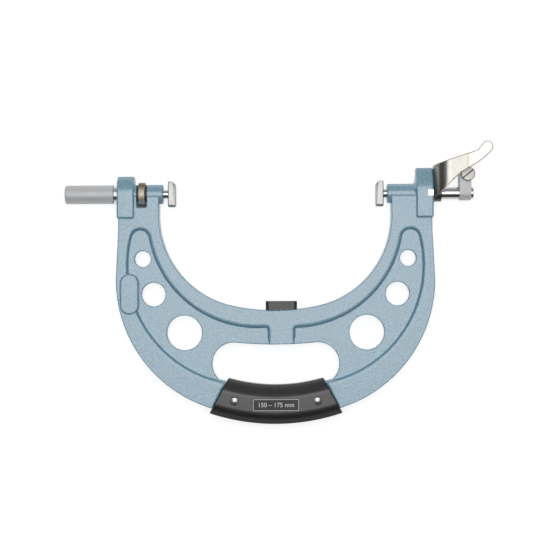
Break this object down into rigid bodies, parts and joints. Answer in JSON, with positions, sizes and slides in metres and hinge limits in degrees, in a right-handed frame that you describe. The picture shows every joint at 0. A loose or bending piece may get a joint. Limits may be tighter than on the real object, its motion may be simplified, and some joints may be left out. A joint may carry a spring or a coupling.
{
  "type": "indicating snap gauge",
  "caption": "Bow-shaped snap gauge for outside diameters, with a wound reference anvil, a sprung anvil on a thumb lever, a clamp for a dial indicator, a work stop and a hand grip.",
  "frame": {"origin": "centre of the reference anvil's measuring face, with that anvil 1 mm in from its rear stop", "axes": "+X along the measuring axis from the reference anvil to the retracting anvil, +Y up out of the throat, +Z out of the front face"},
  "size_m": [0.3705, 0.2441, 0.0354],
  "materials": {
    "frame_paint": "light blue-grey hammered paint",
    "grip_plastic": "fine moulded texture",
    "nickel": "bright nickel",
    "plate_metal": "dark plate with light figures",
    "satin_steel": "satin chrome",
    "bush_steel": "turned steel",
    "ground_steel": "ground and polished",
    "anvil_steel": "bright ground steel",
    "carbide": "lapped carbide",
    "lock_steel": "warm turned steel",
    "inner_steel": "plain steel",
    "spring_steel": "spring wire",
    "key_steel": "bright steel",
    "polished_steel": "polished",
    "lever_nickel": "polished nickel",
    "screw_nickel": "nickel, slightly warm",
    "black_oxide": "black oxide"
  },
  "bodies": {
    "gauge": {"frame": "frame_paint", "grip_front": "grip_plastic", "grip_back": "grip_plastic", "grip_rivets": "nickel", "range_plate": "plate_metal", "screw_bush": "bush_steel", "spindle_key": "inner_steel", "lock_collet": "inner_steel", "guide_key": "key_steel", "stem_tube": "polished_steel", "stem_clamp": "satin_steel", "return_spring": "spring_steel"},
    "cap": {"spindle_cap": "satin_steel"},
    "left_spindle": {"adjusting_spindle": "ground_steel", "neck_pin": "inner_steel", "reference_anvil": "anvil_steel", "reference_tip": "carbide"},
    "screw": {"adjusting_screw": "inner_steel"},
    "ring": {"lock_ring": "lock_steel"},
    "right_spindle": {"retracting_spindle": "ground_steel", "spring_shoulder": "inner_steel", "retracting_anvil": "anvil_steel", "retracting_tip": "carbide", "lever_collar": "black_oxide", "cross_pin": "inner_steel"},
    "lever": {"lifting_lever": "lever_nickel"},
    "clamp_bolt": {"clamp_screw": "screw_nickel"},
    "stop": {"work_stop": "black_oxide", "stop_post": "inner_steel"},
    "grub": {"stop_set_screw": "inner_steel"}
  },
  "joints": [
    {"name": "cap_pull", "type": "slide", "parent": "gauge", "child": "cap", "axis": [-1, 0, 0], "range_m": [0, 0.045]},
    {"name": "anvil_slide", "type": "slide", "parent": "gauge", "child": "left_spindle", "axis": [1, 0, 0], "range_m": [-0.001, 0.024]},
    {"name": "screw_turn", "type": "hinge", "parent": "left_spindle", "child": "screw", "pos_m": [-0.0635, 0, 0], "axis": [1, 0, 0], "range_deg": [-360, 8640]},
    {"name": "lock_turn", "type": "hinge", "parent": "gauge", "child": "ring", "pos_m": [-0.0294, 0, 0], "axis": [1, 0, 0], "range_deg": [0, 90]},
    {"name": "retract_slide", "type": "slide", "parent": "gauge", "child": "right_spindle", "axis": [1, 0, 0], "range_m": [0, 0.002], "stiffness_N_per_m": 2000, "springref_m": -0.006, "deforming": ["return_spring"]},
    {"name": "lever_press", "type": "hinge", "parent": "gauge", "child": "lever", "pos_m": [0.2239, 0, -0.009], "axis": [0, 1, 0], "range_deg": [0, 7.1]},
    {"name": "clamp_turn", "type": "hinge", "parent": "gauge", "child": "clamp_bolt", "pos_m": [0.2538, 0.0164, 0.006], "axis": [0, 0, 1], "range_deg": [0, 180]},
    {"name": "stop_slide", "type": "slide", "parent": "gauge", "child": "stop", "axis": [0, 1, 0], "range_m": [0, 0.0125]},
    {"name": "grub_turn", "type": "hinge", "parent": "gauge", "child": "grub", "pos_m": [0.0915, -0.1175, -0.006], "axis": [0, 0, -1], "range_deg": [0, 180]}
  ],
  "couplings": [
    {"joint": "screw_turn", "follows": "anvil_slide", "rad_per_m": 6283.2},
    {"joint": "lever_press", "follows": "retract_slide", "rad_per_m": 61.5}
  ]
}
